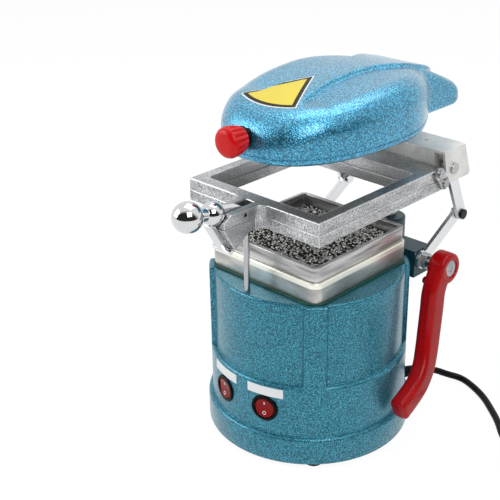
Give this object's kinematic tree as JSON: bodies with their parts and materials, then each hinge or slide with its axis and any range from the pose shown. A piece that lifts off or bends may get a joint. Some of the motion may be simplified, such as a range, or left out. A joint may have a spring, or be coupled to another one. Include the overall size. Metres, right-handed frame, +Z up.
{
  "type": "dental vacuum former",
  "caption": "Drum-shaped dental vacuum former: shot tray, hinged sheet frames on a column, side pull lever with links, ball catch and a swinging heater head.",
  "frame": {"origin": "on the drum's axis, on the surface that the four feet stand on", "axes": "+Z up; -Y is the front with the switches and the ball catch; the lever is on +X"},
  "size_m": [0.3521, 0.3127, 0.3137],
  "materials": {
    "teal_casting": "hammertone enamel",
    "blue_casting": "hammertone enamel",
    "satin_aluminium": "satin",
    "cast_aluminium": "fine cast, machined edges",
    "zinc_steel": "zinc plated",
    "ground_steel": "ground",
    "bright_steel": "brushed",
    "black_steel": "blackened",
    "motor_steel": "plain",
    "steel_shot": "worn round shot",
    "bronze": "plain",
    "chrome_plate": "polished",
    "red_enamel": "gloss",
    "red_plastic": "moulded",
    "black_plastic": "moulded",
    "black_rubber": "moulded",
    "cord_rubber": "extruded",
    "white_ceramic": "unglazed ceramic",
    "white_label": "printed film, left blank"
  },
  "bodies": {
    "base": {"base_casting": "teal_casting", "bottom_cover": "zinc_steel", "rubber_feet": "black_rubber", "foot_screws": "zinc_steel", "motor_mount": "zinc_steel", "vacuum_motor": "motor_steel", "fan_housing": "motor_steel", "intake_seal": "black_rubber", "terminal_block": "black_plastic", "vacuum_block": "satin_aluminium", "block_screws": "zinc_steel", "vent_plate": "satin_aluminium", "rear_bracket": "teal_casting", "bracket_screws": "zinc_steel", "guide_column": "ground_steel", "front_guide_pin": "ground_steel", "switch_housing_right": "black_plastic", "switch_housing_left": "black_plastic", "switch_labels": "white_label", "cord_gland": "black_rubber", "power_cord": "cord_rubber", "cord_coil": "cord_rubber", "cord_tie": "black_plastic", "power_plug": "black_plastic", "swing_collar": "satin_aluminium"},
    "fan": {"fan_wheel": "satin_aluminium", "motor_shaft": "ground_steel"},
    "carriage": {"lower_frame": "cast_aluminium", "tongue_screws": "zinc_steel", "hinge_plates": "satin_aluminium", "hinge_screws": "zinc_steel", "carriage_block": "satin_aluminium", "column_bush": "bronze", "carriage_cover": "satin_aluminium", "arm_screws": "zinc_steel", "arm_spacers": "zinc_steel"},
    "upper_frame": {"upper_frame": "cast_aluminium", "catch_pin": "ground_steel"},
    "catch": {"ball_catch": "chrome_plate"},
    "lever": {"lever_shaft": "ground_steel", "lower_arms": "bright_steel", "knee_pins": "bright_steel", "shaft_nuts": "zinc_steel", "handle_spacer": "ground_steel", "lever_handle": "red_enamel", "handle_screw": "zinc_steel"},
    "links": {"upper_arms": "bright_steel", "knee_nuts": "black_steel"},
    "heater": {"heater_shell": "blue_casting", "heater_posts": "white_ceramic", "heater_plate": "white_ceramic", "reflector": "bright_steel", "heating_coil": "black_steel", "heater_knob": "red_plastic", "knob_stem": "black_plastic"},
    "tray": {"ball_tray": "satin_aluminium", "shot_bed": "steel_shot"},
    "rocker_right": {"switch_rocker_right": "red_plastic"},
    "rocker_left": {"switch_rocker_left": "red_plastic"}
  },
  "joints": [
    {"name": "carriage_lift", "type": "slide", "parent": "base", "child": "carriage", "axis": [0, 0, 1], "range_m": [-0.039, 0]},
    {"name": "lever_turn", "type": "hinge", "parent": "base", "child": "lever", "pos_m": [0, 0.077, 0.147], "axis": [1, 0, 0], "range_deg": [-36.36, 0]},
    {"name": "link_swing", "type": "hinge", "parent": "carriage", "child": "links", "pos_m": [0, 0.104, 0.226], "axis": [1, 0, 0], "range_deg": [0, 8.85]},
    {"name": "upper_frame_open", "type": "hinge", "parent": "carriage", "child": "upper_frame", "pos_m": [0, 0.0812, 0.2273], "axis": [-1, 0, 0], "range_deg": [0, 4.3]},
    {"name": "catch_turn", "type": "hinge", "parent": "upper_frame", "child": "catch", "pos_m": [0, -0.087, 0.226], "axis": [-1, 0, 0], "range_deg": [0, 43]},
    {"name": "heater_swing", "type": "hinge", "parent": "base", "child": "heater", "pos_m": [0, 0.113, 0.262], "axis": [0, 0, 1], "range_deg": [-100, 100]},
    {"name": "tray_lift", "type": "slide", "parent": "base", "child": "tray", "axis": [0, 0, 1], "range_m": [0, 0.012]},
    {"name": "fan_spin", "type": "hinge", "parent": "base", "child": "fan", "pos_m": [0, 0, 0.08], "axis": [0, 0, 1], "continuous": true},
    {"name": "switch_right", "type": "hinge", "parent": "base", "child": "rocker_right", "pos_m": [0.02417, -0.0816, 0.054], "axis": [0.9588, 0.284, 0], "range_deg": [0, 8]},
    {"name": "switch_left", "type": "hinge", "parent": "base", "child": "rocker_left", "pos_m": [-0.02088, -0.0825, 0.054], "axis": [0.9694, -0.2453, 0], "range_deg": [0, 8]}
  ],
  "couplings": [
    {"joint": "lever_turn", "follows": "carriage_lift", "rad_per_m": 16.272},
    {"joint": "link_swing", "follows": "carriage_lift", "rad_per_m": -3.9604},
    {"joint": "catch_turn", "follows": "upper_frame_open", "ratio": 9.99}
  ]
}
